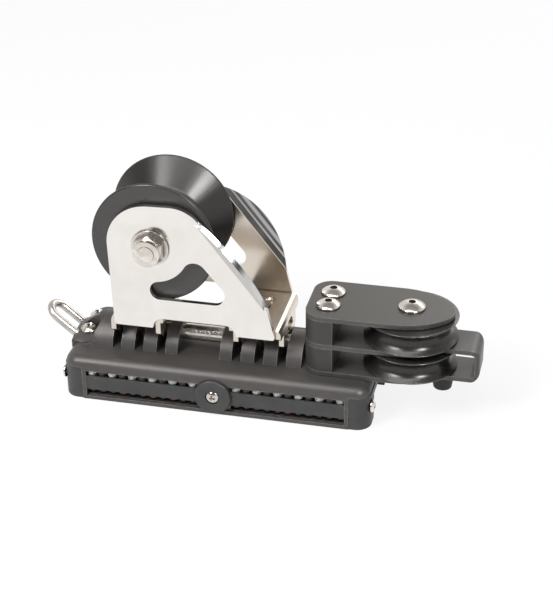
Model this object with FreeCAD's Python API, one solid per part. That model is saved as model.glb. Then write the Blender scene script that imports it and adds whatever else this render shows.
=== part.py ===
import FreeCAD, Part
import math
import os

V = FreeCAD.Vector
os.makedirs("parts", exist_ok=True)

# Genoa track car: a ball bearing slider, a tilting sheave housing and a two-sheave control block.
# Millimetres. The origin is the middle of the track channel on the car's underside.
# X runs along the track towards the control block, Y across it, Z up.

# Slider body
car_length = 190.0
car_width = 70.0
car_height = 28.0
corner_radius = 9.0
shoulder_radius = 6.0
channel_width = 37.0
channel_height = 17.0

# Ball lanes and their covers
ball_diameter = 6.35
ball_pitch = 6.4
balls_per_lane = 11
first_ball = 13.5
lane_clearance = 0.1
return_row_inset = 5.0
lower_return_height = 6.3
upper_return_height = 17.2
lower_load_depth = 2.4
lower_load_height = 8.0
upper_load_inset = 4.0
upper_load_height = 19.4
window_length = 161.0
window_bottom = 2.5
window_top = 19.9
cover_height = 9.0
cover_thickness = 1.5
cover_middle = 11.7
cover_recess = 0.2

# Centre discs
disc_diameter = 22.5
disc_height = 12.6
disc_thickness = 2.4
disc_edge = 0.6
disc_screw_shank = 3.0
disc_screw_length = 8.0
disc_screw_head = 8.0
disc_screw_head_height = 2.2
disc_seat_depth = 1.2
disc_seat_margin = 0.3

# End caps
cap_length = 12.0
cap_proud = 1.0
cap_inset = 0.4
cap_height = 22.0
end_screw_inset = 8.0
end_screw_height = 13.7
end_screw_shank = 3.5
end_screw_length = 18.0
end_screw_head = 8.2
end_screw_head_height = 2.4

# Hinge ridge
ridge_half_width = 17.5
ridge_height = 14.0
ridge_end = 50.5
hinge_middle = -13.6
knuckle_first = 23.7
knuckle_pitch = 14.1
knuckles_per_side = 3
knuckle_slot = 5.6
fin_width = 7.6
pin_diameter = 10.0
pin_height = 35.0
pin_clearance = 0.05
pin_reach = 59.4

# Bail and the cap that clamps it
nose_seam = -76.8
nose_corner = 11.5
nose_taper_start = -80.5
nose_end = -95.8
nose_end_half_width = 14.5
nose_end_height = 2.8
nose_skirt_bottom = 23.0
nose_skirt_back = -88.0
bail_diameter = 5.0
bail_half_width = 7.0
bail_height = 1.1
bail_tail = -88.2
bail_bend_place = -95.5
bail_bend_radius = 4.0
bail_angle = 40.0
bail_length = 13.5
bail_clearance = 0.1
nose_screw_place = -85.4
nose_screw_offset = 8.6
nose_screw_level = 34.0
nose_screw_head = 10.6
nose_screw_head_height = 3.4
nose_screw_shank = 4.0
nose_screw_length = 11.4
nose_seat_diameter = 13.6

# Sheave housing
sheet = 3.0
cheek_gap = 48.0
cheek_bottom = 51.0
cheek_left = -62.2
cheek_right = 36.6
cheek_corner = 1.5
axle_place = -37.1
axle_height = 105.6
head_radius = 26.2
head_offset = -0.6
crown_offset = 12.6
crown_rise = 5.6
crown_radius = 21.0
heel_inset = 11.9
heel_rise = 17.6
heel_radius = 8.0
notch_left = -38.3
notch_right = 13.2
notch_height = 6.8
floor_height = 53.0
left_bend = 4.5
right_bend = 0.5
left_floor_margin = 3.0
right_floor_margin = 0.3
floor_hole_place = 25.2
floor_hole_offset = 11.8
floor_hole_diameter = 5.0
floor_hole_rim = 7.0
floor_small_hole_offset = 4.0
floor_small_hole = 4.0
left_lug_half_width = 20.0
left_lug_corner_height = 8.0
right_lug_half_width = 16.0
right_lug_corner_height = 6.0
middle_lug_half_width = 11.5
middle_lug_corner_height = 10.0
lug_eye_radius = 6.8
end_plate_bottom = 49.0
end_plate_corner = 2.0
arch_half_width = 8.5
arch_bottom = 9.5
arch_height = 6.5
window_arc_radius = 23.0
window_left_radius = 6.0
window_left_angle = -81.6
window_top_radius = 7.3
window_top_angle = -30.2
window_right_radius = 6.7
window_right_offset = 37.5
window_blend = 1.0005
guard_angle = 45.0
guard_flank_gap = 0.3
guard_margin_low = 3.0
guard_margin_high = 1.0

# Lead sheave on its bolt
sheave_diameter = 75.8
sheave_width = 44.4
sheave_rim = 1.3
sheave_throat_diameter = 42.0
sheave_throat_radius = 10.0
sheave_hub_diameter = 30.0
sheave_dish = 1.2
sheave_dish_diameter = 44.0
bush_diameter = 16.0
bush_clearance = 0.05
bolt_diameter = 10.0
hex_width = 17.0
hex_crown = 0.3
hex_crown_width = 0.96
bolt_head_height = 6.4
nut_height = 5.8
nut_collar_height = 2.6
nut_collar_diameter = 16.4
bolt_end = 0.6
washer_diameter = 22.5
washer_thickness = 1.6
side_washer_diameter = 30.0
side_washer_thickness = 1.5

# Control block
plate_left = 52.5
plate_thickness = 3.0
plate_gap = 15.5
plate_half_width = 22.7
plate_corner = 11.0
plate_flank_start = 106.0
nose_centre = 124.3
nose_radius = 15.5
becket_half_width = 12.0
becket_end = 156.8
becket_corner = 5.0
becket_bend = 2.5
neck_angle = 37.0
spacer_end = 70.6
block_screw_place = 65.2
block_screw_offset = 8.0
block_screw_shank = 6.0
block_screw_bite = 9.5
block_screw_head = 14.5
block_screw_head_height = 4.0
socket_width = 4.2
socket_depth = 2.6
control_axle_place = 114.0
control_axle_shank = 8.0
control_axle_head = 16.2
control_axle_head_height = 4.4
control_axle_end = 6.5
control_nut_diameter = 14.0
control_nut_height = 6.0
control_sheave_diameter = 56.4
control_sheave_clearance = 0.8
control_sheave_rim = 0.4
control_throat_diameter = 47.4
control_throat_radius = 6.0
control_bush_diameter = 13.0
keeper_place = 134.0
keeper_top_diameter = 14.6
keeper_foot_diameter = 11.0
keeper_height = 12.0
keeper_stem_diameter = 5.0

# Screw heads
head_edge = 0.3
recess_span = 0.62
recess_width = 0.15
recess_depth = 0.62

# Room that a cutting tool runs past the face it cuts, and the slack in finding an edge
overcut = 1.0
found = 0.01


def cross(point, angle, distance):
    """The point reached from another at an angle in degrees."""
    turn = math.radians(angle)
    return point[0] + distance * math.cos(turn), point[1] + distance * math.sin(turn)


def side_view(x, z):
    return V(x, 0, z)


def plan_view(x, y):
    return V(x, y, 0)


def end_view(y, z):
    return V(0, y, z)


def belt(circles, place):
    """Face inside a belt that runs counter-clockwise round circles (x, z, radius).

    A circle of negative radius bends the belt inwards, and one of no radius is a sharp corner.
    """
    count = len(circles)
    leave, arrive = [], []
    for index in range(count):
        x1, z1, r1 = circles[index]
        x2, z2, r2 = circles[(index + 1) % count]
        distance = math.hypot(x2 - x1, z2 - z1)
        heading = math.atan2(z2 - z1, x2 - x1) - math.asin((r2 - r1) / distance)
        left = (-math.sin(heading), math.cos(heading))
        leave.append((x1 - r1 * left[0], z1 - r1 * left[1]))
        arrive.append((x2 - r2 * left[0], z2 - r2 * left[1]))
    edges = []
    for index in range(count):
        x, z, radius = circles[index]
        first, last = arrive[index - 1], leave[index]
        if radius:
            start = math.atan2(first[1] - z, first[0] - x)
            end = math.atan2(last[1] - z, last[0] - x)
            while radius > 0 and end < start:
                end += 2 * math.pi
            while radius < 0 and end > start:
                end -= 2 * math.pi
            middle = cross((x, z), math.degrees((start + end) / 2), abs(radius))
            edges.append(Part.Arc(place(*first), place(*middle), place(*last)).toShape())
        edges.append(Part.LineSegment(place(*last), place(*arrive[index])).toShape())
    return Part.Face(Part.Wire(edges))


def rounded_rectangle(left, right, near, far, radius, place):
    corners = [
        (left + radius, near + radius, radius),
        (right - radius, near + radius, radius),
        (right - radius, far - radius, radius),
        (left + radius, far - radius, radius),
    ]
    return belt(corners, place)


def box(x0, x1, y0, y1, z0, z1):
    return Part.makeBox(x1 - x0, y1 - y0, z1 - z0, V(x0, y0, z0))


def rod(diameter, start, end):
    axis = end - start
    return Part.makeCylinder(diameter / 2, axis.Length, start, axis)


def mirrored(shape):
    """The same shape on the other side of the track."""
    return shape.mirror(V(0, 0, 0), V(0, 1, 0))


def both_sides(shape):
    return [shape, mirrored(shape)]


def fuse(shapes):
    return shapes[0].multiFuse(shapes[1:]).removeSplitter()


def write(name, shapes):
    solids = [solid for shape in shapes for solid in shape.Solids]
    whole = solids[0] if len(solids) == 1 else Part.makeCompound(solids)
    whole.exportStep("parts/" + name + ".step")
    print(name, len(solids), "solid(s)", round(sum(solid.Volume for solid in solids), 1), "mm3")


def hexagon_face(width):
    """Hexagon round the Z axis with a corner towards Y."""
    corners = [cross((0, 0), 30 + 60 * index, width / math.sqrt(3)) for index in range(7)]
    return Part.Face(Part.makePolygon([V(x, y, 0) for x, y in corners]))


def aim(shape, place, direction):
    """Move a shape made along Z to a place, with its Z axis turned to a direction."""
    shape.Placement = FreeCAD.Placement(place, FreeCAD.Rotation(V(0, 0, 1), direction))
    return shape


def cross_recess(diameter, height):
    """Tapered cross that a screwdriver fits, for a head that stands on the Z axis."""
    reach = diameter * recess_span / 2
    half = diameter * recess_width / 2
    floor = height * (1 - recess_depth)
    corners = [(-reach, height), (-half, floor), (half, floor), (reach, height), (-reach, height)]
    blade = Part.makePolygon([side_view(x, z) for x, z in corners])
    slot = Part.Face(blade).extrude(V(0, 2 * half, 0)).translated(V(0, -half, 0))
    other = slot.copy()
    other.rotate(V(0, 0, 0), V(0, 0, 1), 90)
    return slot.fuse(other)


def socket_recess(height):
    """Hexagonal socket for a key, for a head that stands on the Z axis."""
    floor = V(0, 0, height - socket_depth)
    return hexagon_face(socket_width).translated(floor).extrude(V(0, 0, height))


def pan_head(diameter, height, shank, length, seat, axis, socket=False):
    """Screw with a domed head; the seat is the underside of its head."""
    edge = height * head_edge
    rise = height - edge
    radius = (diameter ** 2 / 4 + rise ** 2) / (2 * rise)
    half = math.asin(diameter / 2 / radius) / 2
    shoulder = V(radius * math.sin(half), 0, height - radius + radius * math.cos(half))
    profile = [
        Part.LineSegment(V(0, 0, -length), V(shank / 2, 0, -length)),
        Part.LineSegment(V(shank / 2, 0, -length), V(shank / 2, 0, 0)),
        Part.LineSegment(V(shank / 2, 0, 0), V(diameter / 2, 0, 0)),
        Part.LineSegment(V(diameter / 2, 0, 0), V(diameter / 2, 0, edge)),
        Part.Arc(V(diameter / 2, 0, edge), shoulder, V(0, 0, height)),
        Part.LineSegment(V(0, 0, height), V(0, 0, -length)),
    ]
    section = Part.Face(Part.Wire([side.toShape() for side in profile]))
    screw = section.revolve(V(0, 0, 0), V(0, 0, 1), 360)
    recess = socket_recess(height) if socket else cross_recess(diameter, height)
    return aim(screw.cut(recess), seat, axis)


# Sizes that follow from the ones above
half_length = car_length / 2
half_width = car_width / 2
half_channel = channel_width / 2
return_row_offset = half_width - return_row_inset
lower_load_offset = half_channel + lower_load_depth
upper_load_offset = half_channel - upper_load_inset
end_screw_offset = half_width - end_screw_inset
half_window = window_length / 2
ball_radius = ball_diameter / 2
lane_half = ball_radius + lane_clearance
cover_front = half_width - cover_recess
cover_back = cover_front - cover_thickness
lane_end = first_ball + (balls_per_lane - 1) * ball_pitch + lane_half
lane_start = first_ball - lane_half
cap_start = half_length - cap_length
cap_face = half_length + cap_proud
ridge_top = car_height + ridge_height
knuckles = [
    hinge_middle + side * (knuckle_first + index * knuckle_pitch)
    for side in (-1, 1)
    for index in range(knuckles_per_side)
]
fin_reach = knuckle_first - knuckle_slot / 2 - fin_width
pin_start = hinge_middle - pin_reach
cheek_inside = cheek_gap / 2
cheek_outside = cheek_inside + sheet
floor_top = floor_height + sheet
sheave_half = sheave_width / 2
outer_lug = knuckle_first + (knuckles_per_side - 1) * knuckle_pitch
plate_levels = [car_height + index * (plate_thickness + plate_gap) for index in range(3)]
block_top = plate_levels[2] + plate_thickness
clear_top = ridge_top + overcut

rows = [
    (return_row_offset, lower_return_height),
    (return_row_offset, upper_return_height),
]
load_rows = [
    (lower_load_offset, lower_load_height),
    (upper_load_offset, upper_load_height),
]


def ridge_wire(place, half_width, height):
    """Cross-section of the ridge: a flat base under one round arc."""
    near = V(place, -half_width, car_height)
    far = V(place, half_width, car_height)
    crown = V(place, 0, car_height + height)
    return Part.Wire([Part.LineSegment(near, far).toShape(), Part.Arc(far, crown, near).toShape()])


def full_ridge_wire(place):
    return ridge_wire(place, ridge_half_width, ridge_height)


def ridge_section(start, end):
    return Part.Face(full_ridge_wire(start)).extrude(V(end - start, 0, 0))


def nose_pocket():
    """Space of the bail cap at the left end of the ridge, with its rounded inner corner."""
    circles = [
        (nose_end - overcut, car_height, 0),
        (nose_seam - nose_corner, car_height + nose_corner, nose_corner),
        (nose_seam, clear_top, 0),
        (nose_end - overcut, clear_top, 0),
    ]
    face = belt(circles, side_view)
    return face.extrude(V(0, car_width, 0)).translated(V(0, -half_width, 0))


def nose_screw(side):
    seat = V(nose_screw_place, side * nose_screw_offset, nose_screw_level)
    return pan_head(
        nose_screw_head, nose_screw_head_height, nose_screw_shank, nose_screw_length, seat, V(0, 0, 1)
    )


def bail_path():
    """Middle line of the bail: two tails, two bends and the round end."""
    level = car_height + bail_height
    turn = math.radians(bail_angle)
    reach = bail_bend_radius * math.tan(turn / 2)
    along = V(-math.cos(turn), 0, math.sin(turn))
    side = V(0, bail_half_width, 0)
    corner = V(bail_bend_place, 0, level)
    before = corner + V(reach, 0, 0)
    after = corner + along * reach
    centre = V(corner.x + reach, 0, level + bail_bend_radius)
    bend = centre + V(-math.sin(turn / 2), 0, -math.cos(turn / 2)) * bail_bend_radius
    far = after + along * bail_length
    tip = far + along * bail_half_width
    tail = V(bail_tail, 0, level)
    edges = [
        Part.LineSegment(tail - side, before - side),
        Part.Arc(before - side, bend - side, after - side),
        Part.LineSegment(after - side, far - side),
        Part.Arc(far - side, tip, far + side),
        Part.LineSegment(far + side, after + side),
        Part.Arc(after + side, bend + side, before + side),
        Part.LineSegment(before + side, tail + side),
    ]
    return Part.Wire([edge.toShape() for edge in edges])


def bail(clearance=0.0):
    path = bail_path()
    start = V(bail_tail, -bail_half_width, car_height + bail_height)
    ring = Part.Wire(Part.makeCircle(bail_diameter / 2 + clearance, start, V(1, 0, 0)))
    return path.makePipeShell([ring], True, True)


def car_block():
    """The body's plain outside, with its rounded corners and shoulders."""
    outline = rounded_rectangle(-half_length, half_length, -half_width, half_width, corner_radius, plan_view)
    block = outline.extrude(V(0, 0, car_height))
    top_edges = [edge for edge in block.Edges if edge.BoundBox.ZMin > car_height - found]
    return block.makeFillet(shoulder_radius, top_edges)


def bail_cover():
    """Tapered nose of the ridge, hooked over the car's rounded end and clamped on the bail."""
    low_end = ridge_wire(nose_end, nose_end_half_width, nose_end_height)
    taper = Part.makeLoft([low_end, full_ridge_wire(nose_taper_start)], True, True)
    body = taper.fuse(ridge_section(nose_taper_start, nose_seam)).common(nose_pocket())
    skirt = box(
        nose_end,
        nose_skirt_back,
        -nose_end_half_width,
        nose_end_half_width,
        nose_skirt_bottom,
        car_height,
    )
    body = body.fuse(skirt.cut(car_block())).removeSplitter()
    for side in (-1, 1):
        seat = V(nose_screw_place, side * nose_screw_offset, nose_screw_level)
        body = body.cut(rod(nose_seat_diameter, seat, seat + V(0, 0, ridge_height)))
        body = body.cut(rod(nose_screw_shank, seat, seat - V(0, 0, nose_screw_length)))
    return body.cut(bail(bail_clearance))


def car_outline(inset):
    return rounded_rectangle(
        -half_length - cap_proud + inset,
        half_length + cap_proud - inset,
        -half_width + inset,
        half_width - inset,
        corner_radius,
        plan_view,
    )


def lane(side, end, offset, level, depth):
    """One straight ball lane, open outwards by its depth from the ball's middle."""
    x0, x1 = sorted((end * lane_start, end * lane_end))
    y0, y1 = sorted((side * (offset - lane_half), side * (offset + depth)))
    return box(x0, x1, y0, y1, level - lane_half, level + lane_half)


def slider_body():
    body = car_block()
    cuts = [box(-half_length, half_length, -half_channel, half_channel, 0, channel_height)]
    for end in (-1, 1):
        x0, x1 = sorted((end * cap_start, end * (cap_face + overcut)))
        cuts.append(box(x0, x1, -half_width, half_width, 0, cap_height))
    for side in (-1, 1):
        y0, y1 = sorted((side * cover_back, side * half_width))
        cuts.append(box(-half_window, half_window, y0, y1, window_bottom, window_top))
        for end in (-1, 1):
            for offset, level in rows:
                cuts.append(lane(side, end, offset, level, cover_back - offset))
            lower, upper = load_rows
            x0, x1 = sorted((end * lane_start, end * lane_end))
            y0, y1 = sorted((side * (half_channel - overcut), side * (lower[0] + lane_half)))
            cuts.append(box(x0, x1, y0, y1, lower[1] - lane_half, lower[1] + lane_half))
            y0, y1 = sorted((side * (upper[0] - lane_half), side * (upper[0] + lane_half)))
            cuts.append(box(x0, x1, y0, y1, channel_height - overcut, upper[1] + lane_half))
            bore_start = V(end * cap_start, side * end_screw_offset, end_screw_height)
            bore_depth = end_screw_length - cap_length - cap_proud
            cuts.append(rod(end_screw_shank, bore_start, bore_start - V(end * bore_depth, 0, 0)))
        bore_start = V(0, side * half_width, disc_height)
        bore_depth = V(0, side * disc_screw_length, 0)
        cuts.append(rod(disc_screw_shank, bore_start, bore_start - bore_depth))
        hole = V(block_screw_place, side * block_screw_offset, car_height)
        cuts.append(rod(block_screw_shank, hole, hole - V(0, 0, block_screw_bite)))
        cuts.append(nose_screw(side))
    cuts.append(bail(bail_clearance))
    for cut in cuts:
        body = body.cut(cut)
    ridge = ridge_section(-half_length, ridge_end).cut(nose_pocket())
    half_slot = knuckle_slot / 2
    ridge_cuts = [
        box(middle - half_slot, middle + half_slot, -half_width, half_width, car_height, clear_top)
        for middle in knuckles
    ]
    ridge_cuts.append(
        box(
            hinge_middle - fin_reach, hinge_middle + fin_reach, -half_width, half_width, car_height, clear_top
        )
    )
    ridge_cuts.append(rod(pin_diameter, V(pin_start, 0, pin_height), V(ridge_end, 0, pin_height)))
    ridge_cuts.append(nose_screw(-1))
    ridge_cuts.append(nose_screw(1))
    for cut in ridge_cuts:
        ridge = ridge.cut(cut)
    return body.fuse(ridge.Solids).removeSplitter()


def end_cap(end):
    """Moulded cap that closes the ball circuits, stepped in under the body's shoulder."""
    block = car_outline(cap_inset).extrude(V(0, 0, cap_height))
    x0, x1 = sorted((end * cap_start, end * (cap_face + overcut)))
    cap = block.common(box(x0, x1, -half_width, half_width, 0, cap_height))
    cap = cap.cut(box(x0, x1, -half_channel, half_channel, 0, channel_height))
    for side in (-1, 1):
        face = V(end * (cap_face - cap_inset), side * end_screw_offset, end_screw_height)
        cap = cap.cut(rod(end_screw_shank, face, face - V(end * end_screw_length, 0, 0)))
    return cap


def end_cap_screws():
    screws = []
    for end in (-1, 1):
        for side in (-1, 1):
            seat = V(end * (cap_face - cap_inset), side * end_screw_offset, end_screw_height)
            screws.append(
                pan_head(
                    end_screw_head,
                    end_screw_head_height,
                    end_screw_shank,
                    end_screw_length - cap_inset,
                    seat,
                    V(end, 0, 0),
                )
            )
    return screws


def race_cover():
    """Strip that holds the near side's balls in their lanes."""
    low = cover_middle - cover_height / 2
    cover = box(-half_window, half_window, -cover_front, -cover_back, low, low + cover_height)
    hole = V(0, -half_width, disc_height)
    return cover.cut(rod(disc_screw_shank, hole, hole + V(0, disc_screw_length, 0)))


def centre_disc():
    seat = V(0, -half_width, disc_height)
    face = seat - V(0, disc_thickness, 0)
    disc = rod(disc_diameter, seat, face)
    rim = [edge for edge in disc.Edges if edge.BoundBox.YMax < face.y + found]
    disc = disc.makeChamfer(disc_edge, rim)
    disc = disc.cut(rod(disc_screw_head + 2 * disc_seat_margin, face, face + V(0, disc_seat_depth, 0)))
    return disc.cut(rod(disc_screw_shank, face, seat))


def centre_disc_screw():
    seat = V(0, -half_width - disc_thickness + disc_seat_depth, disc_height)
    length = disc_screw_length + disc_thickness - disc_seat_depth
    return pan_head(disc_screw_head, disc_screw_head_height, disc_screw_shank, length, seat, V(0, -1, 0))


def ball_row(side, offset, level):
    balls = []
    for end in (-1, 1):
        for index in range(balls_per_lane):
            place = V(end * (first_ball + index * ball_pitch), side * offset, level)
            balls.append(Part.makeSphere(ball_radius, place))
    return balls


def lug(index, end):
    """Hinge leaf, counted from the middle: hangs from the floor and ends in an eye round the pin."""
    corner, rise = (left_lug_half_width, left_lug_corner_height)
    if end > 0:
        corner, rise = (right_lug_half_width, right_lug_corner_height)
    if index == 1:
        corner, rise = (middle_lug_half_width, middle_lug_corner_height)
    half = [(corner, pin_height + rise, 0)]
    wide = end > 0 and index == knuckles_per_side - 1
    if wide:
        low = end_plate_bottom
        half += [
            (corner, low, 0),
            (cheek_inside - end_plate_corner, low + end_plate_corner, end_plate_corner),
            (cheek_inside, floor_top, 0),
        ]
    else:
        half += [(corner, floor_top, 0)]
    other = [(-y, z, radius) for y, z, radius in reversed(half)]
    plate = belt([(0, pin_height, lug_eye_radius)] + half + other, end_view)
    place = hinge_middle + end * (knuckle_first + index * knuckle_pitch)
    leaf = plate.extrude(V(sheet, 0, 0)).translated(V(place - sheet / 2, 0, 0))
    if wide:
        opening = pointed_arch().extrude(V(sheet + 2 * overcut, 0, 0))
        leaf = leaf.cut(opening.translated(V(place - sheet / 2 - overcut, 0, 0)))
    return leaf


def pointed_arch():
    """Window of an end plate: a level sill and two arcs that meet in a point."""
    base = pin_height + arch_bottom
    rise = math.hypot(arch_half_width, arch_height)
    radius = rise * rise / (2 * arch_half_width)
    spring = (arch_half_width - radius, base)
    middle = cross(spring, math.degrees(math.atan2(arch_height, radius)) / 2, radius)
    point = V(0, 0, base + arch_height)
    near = V(0, -arch_half_width, base)
    far = V(0, arch_half_width, base)
    edges = [
        Part.LineSegment(near, far),
        Part.Arc(far, V(0, *middle), point),
        Part.Arc(point, V(0, -middle[0], middle[1]), near),
    ]
    return Part.Face(Part.Wire([edge.toShape() for edge in edges]))


cheek_circles = [
    (cheek_left + cheek_corner, cheek_bottom + cheek_corner, cheek_corner),
    (cheek_right - cheek_corner, cheek_bottom + cheek_corner, cheek_corner),
    (cheek_right - heel_inset, cheek_bottom + heel_rise, heel_radius),
    (axle_place + crown_offset, axle_height + crown_rise, crown_radius),
    (axle_place + head_offset, axle_height, head_radius),
]


def cheek_window():
    """Kidney-shaped opening that runs round the lead sheave's rim."""
    axle = (axle_place, axle_height)
    left = cross(axle, window_left_angle, window_blend * (window_arc_radius + window_left_radius))
    upper = cross(axle, window_top_angle, window_blend * (window_arc_radius + window_top_radius))
    bottom = left[1] - window_left_radius
    right = (axle_place + window_right_offset, bottom + window_right_radius)
    circles = [
        (*left, window_left_radius),
        (*right, window_right_radius),
        (*upper, window_top_radius),
        (*axle, -window_arc_radius),
    ]
    return belt(circles, side_view)


def slope_line():
    """Lower and upper end of the cheek's sloping edge, and its outward direction."""
    x1, z1, r1 = cheek_circles[2]
    x2, z2, r2 = cheek_circles[3]
    distance = math.hypot(x2 - x1, z2 - z1)
    heading = math.atan2(z2 - z1, x2 - x1) - math.asin((r2 - r1) / distance)
    outward = V(math.sin(heading), 0, -math.cos(heading))
    low = V(x1, 0, z1) + outward * r1
    high = V(x2, 0, z2) + outward * r2
    return low, high, outward


def guard():
    """Flared lens-shaped lip along the near cheek's sloping edge, out to the car's flank."""
    low, high, outward = slope_line()
    along = (high - low).normalize()
    low = low - along * guard_margin_low
    high = high + along * guard_margin_high
    inset = outward * (sheet / 2)
    centre_plane = V(0, -cheek_inside - sheet / 2, 0)
    start = low - inset + centre_plane
    end = high - inset + centre_plane
    flare = math.radians(guard_angle)
    skin = sheet / 2 * (1 + math.cos(flare))
    depth = (half_width - guard_flank_gap - cheek_inside - skin) / math.sin(flare)
    lean = outward * math.cos(flare) + V(0, -math.sin(flare), 0)
    middle = (start + end) * 0.5 + lean * depth
    chord = Part.LineSegment(start, end).toShape()
    rim = Part.Arc(end, middle, start).toShape()
    face = Part.Face(Part.Wire([chord, rim]))
    normal = lean.cross(along).normalize()
    lens = face.extrude(normal * sheet).translated(normal * (-sheet / 2))
    fold = rod(sheet, start, end)
    return lens.fuse(fold)


def bend_edges(shape, place, level):
    """Straight edges across the car at one place and height, where the floor turns down."""
    return [
        edge
        for edge in shape.Edges
        if abs(edge.BoundBox.ZMax - level) < found
        and edge.BoundBox.ZLength < found
        and edge.BoundBox.XLength < found
        and abs(edge.BoundBox.XMin - place) < found
    ]


def sheave_housing():
    """Folded stainless housing: two cheeks, the floor between them and six hinge leaves."""
    side = belt(cheek_circles, side_view).extrude(V(0, sheet, 0)).translated(V(0, -cheek_outside, 0))
    notch = belt(
        [
            (notch_left, cheek_bottom - overcut, 0),
            (notch_right, cheek_bottom - overcut, 0),
            (notch_right - notch_height, cheek_bottom, notch_height),
            (notch_left + notch_height, cheek_bottom, notch_height),
        ],
        side_view,
    )
    for tool in (notch, cheek_window()):
        through = tool.extrude(V(0, sheet + 2 * overcut, 0))
        side = side.cut(through.translated(V(0, -cheek_outside - overcut, 0)))
    side = side.fuse(guard())
    bolt_start = V(axle_place, -cheek_outside - overcut, axle_height)
    side = side.cut(rod(bolt_diameter, bolt_start, V(axle_place, 0, axle_height)))
    housing = fuse([side, mirrored(side), floor_half(-1), floor_half(1)])
    hole_start = V(pin_start - overcut, 0, pin_height)
    hole_end = V(ridge_end + overcut, 0, pin_height)
    return housing.cut(rod(pin_diameter + 2 * pin_clearance, hole_start, hole_end))


def floor_half(end):
    """One end of the floor: its plate, three leaves and the bend down into the last of them."""
    margin, bend = (left_floor_margin, left_bend) if end < 0 else (right_floor_margin, right_bend)
    outer = hinge_middle + end * (outer_lug + sheet / 2)
    inner = hinge_middle + end * (knuckle_first - sheet / 2 - margin)
    if end < 0:
        tongue = box(outer, cheek_left, -left_lug_half_width, left_lug_half_width, floor_height, floor_top)
        floor = box(cheek_left, inner, -cheek_inside, cheek_inside, floor_height, floor_top).fuse(tongue)
    else:
        floor = drilled(box(inner, outer, -cheek_inside, cheek_inside, floor_height, floor_top))
    leaves = [lug(index, end) for index in range(knuckles_per_side)]
    floor = fuse([floor] + leaves)
    floor = floor.makeFillet(bend + sheet, bend_edges(floor, outer, floor_top))
    return floor.makeFillet(bend, bend_edges(floor, outer - end * sheet, floor_height))


def drilled(floor):
    """The right end of the floor, with its countersunk hole and the small one beside it."""
    rim = Part.makeCone(
        floor_hole_diameter / 2,
        floor_hole_rim / 2,
        sheet / 2,
        V(floor_hole_place, floor_hole_offset, floor_height + sheet / 2),
    )
    floor = floor.cut(rim)
    holes = [(floor_hole_offset, floor_hole_diameter), (floor_small_hole_offset, floor_small_hole)]
    for offset, diameter in holes:
        low = V(floor_hole_place, offset, floor_height - overcut)
        floor = floor.cut(rod(diameter, low, low + V(0, 0, sheet + 2 * overcut)))
    return floor


def hexagon(width, height, start, direction):
    """Hexagon head or nut, its corners turned off at the outer face."""
    block = hexagon_face(width).extrude(V(0, 0, height))
    corner = width / math.sqrt(3)
    crown = height * hex_crown
    turned = Part.makeCylinder(corner, height - crown)
    turned = turned.fuse(Part.makeCone(corner, width * hex_crown_width / 2, crown, V(0, 0, height - crown)))
    return aim(block.common(turned).removeSplitter(), start, direction)


def axle_bolt():
    """Hexagon bolt through both cheeks, its head on the far side."""
    seat = cheek_outside + washer_thickness
    end = -(seat + nut_height + nut_collar_height + bolt_end)
    shank = rod(bolt_diameter, V(axle_place, seat, axle_height), V(axle_place, end, axle_height))
    head = hexagon(hex_width, bolt_head_height, V(axle_place, seat, axle_height), V(0, 1, 0))
    return shank.fuse(head).removeSplitter()


def axle_nut():
    """Lock nut with its nylon collar, on the near side."""
    start = V(axle_place, -cheek_outside - washer_thickness, axle_height)
    body = hexagon(hex_width, nut_height, start, V(0, -1, 0))
    top = start - V(0, nut_height, 0)
    collar = rod(nut_collar_diameter, top, top - V(0, nut_collar_height, 0))
    bore = rod(bolt_diameter, start + V(0, overcut, 0), top - V(0, nut_collar_height + overcut, 0))
    return body.fuse(collar).removeSplitter().cut(bore)


def ring(outer, inner, start, end):
    return rod(outer, start, end).cut(rod(inner, start, end))


def axle_washer():
    start = V(axle_place, -cheek_outside, axle_height)
    return ring(washer_diameter, bolt_diameter, start, start - V(0, washer_thickness, 0))


def sheave_bush():
    start = V(axle_place, -cheek_inside, axle_height)
    return ring(bush_diameter, bolt_diameter, start, start + V(0, cheek_gap, 0))


def sheave_side_washer():
    start = V(axle_place, -cheek_inside, axle_height)
    return ring(side_washer_diameter, bush_diameter, start, start + V(0, side_washer_thickness, 0))


def sheave_profile(diameter, width, rim, throat_diameter, throat_radius, bore):
    """Half section of a rope sheave, radius along X and width along Z."""
    half = width / 2
    outer = diameter / 2
    throat = throat_diameter / 2
    circles = [
        (bore / 2, -half, 0),
        (outer - rim, -half + rim, rim),
        (throat + throat_radius, 0, -throat_radius),
        (outer - rim, half - rim, rim),
        (bore / 2, half, 0),
    ]
    return belt(circles, side_view)


def lead_sheave():
    bore = bush_diameter + 2 * bush_clearance
    profile = sheave_profile(
        sheave_diameter, sheave_width, sheave_rim, sheave_throat_diameter, sheave_throat_radius, bore
    )
    wheel = profile.revolve(V(0, 0, 0), V(0, 0, 1), 360)
    hub = sheave_hub_diameter / 2
    outer = sheave_dish_diameter / 2
    for side in (-1, 1):
        start = V(0, 0, side * sheave_half)
        dish = Part.makeCylinder(outer, sheave_dish, start, V(0, 0, -side))
        wheel = wheel.cut(dish.cut(Part.makeCylinder(hub, sheave_dish, start, V(0, 0, -side))))
    turn = FreeCAD.Rotation(V(1, 0, 0), 90)
    wheel.Placement = FreeCAD.Placement(V(axle_place, 0, axle_height), turn)
    return wheel


def flank_arc():
    """Radius of the plates' flanks, which end in the round nose, and the near one's centre."""
    reach = nose_centre - plate_flank_start
    fall = plate_half_width - nose_radius
    radius = (reach ** 2 + plate_half_width ** 2 - nose_radius ** 2) / (2 * fall)
    return radius, (plate_flank_start, plate_half_width - radius)


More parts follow.
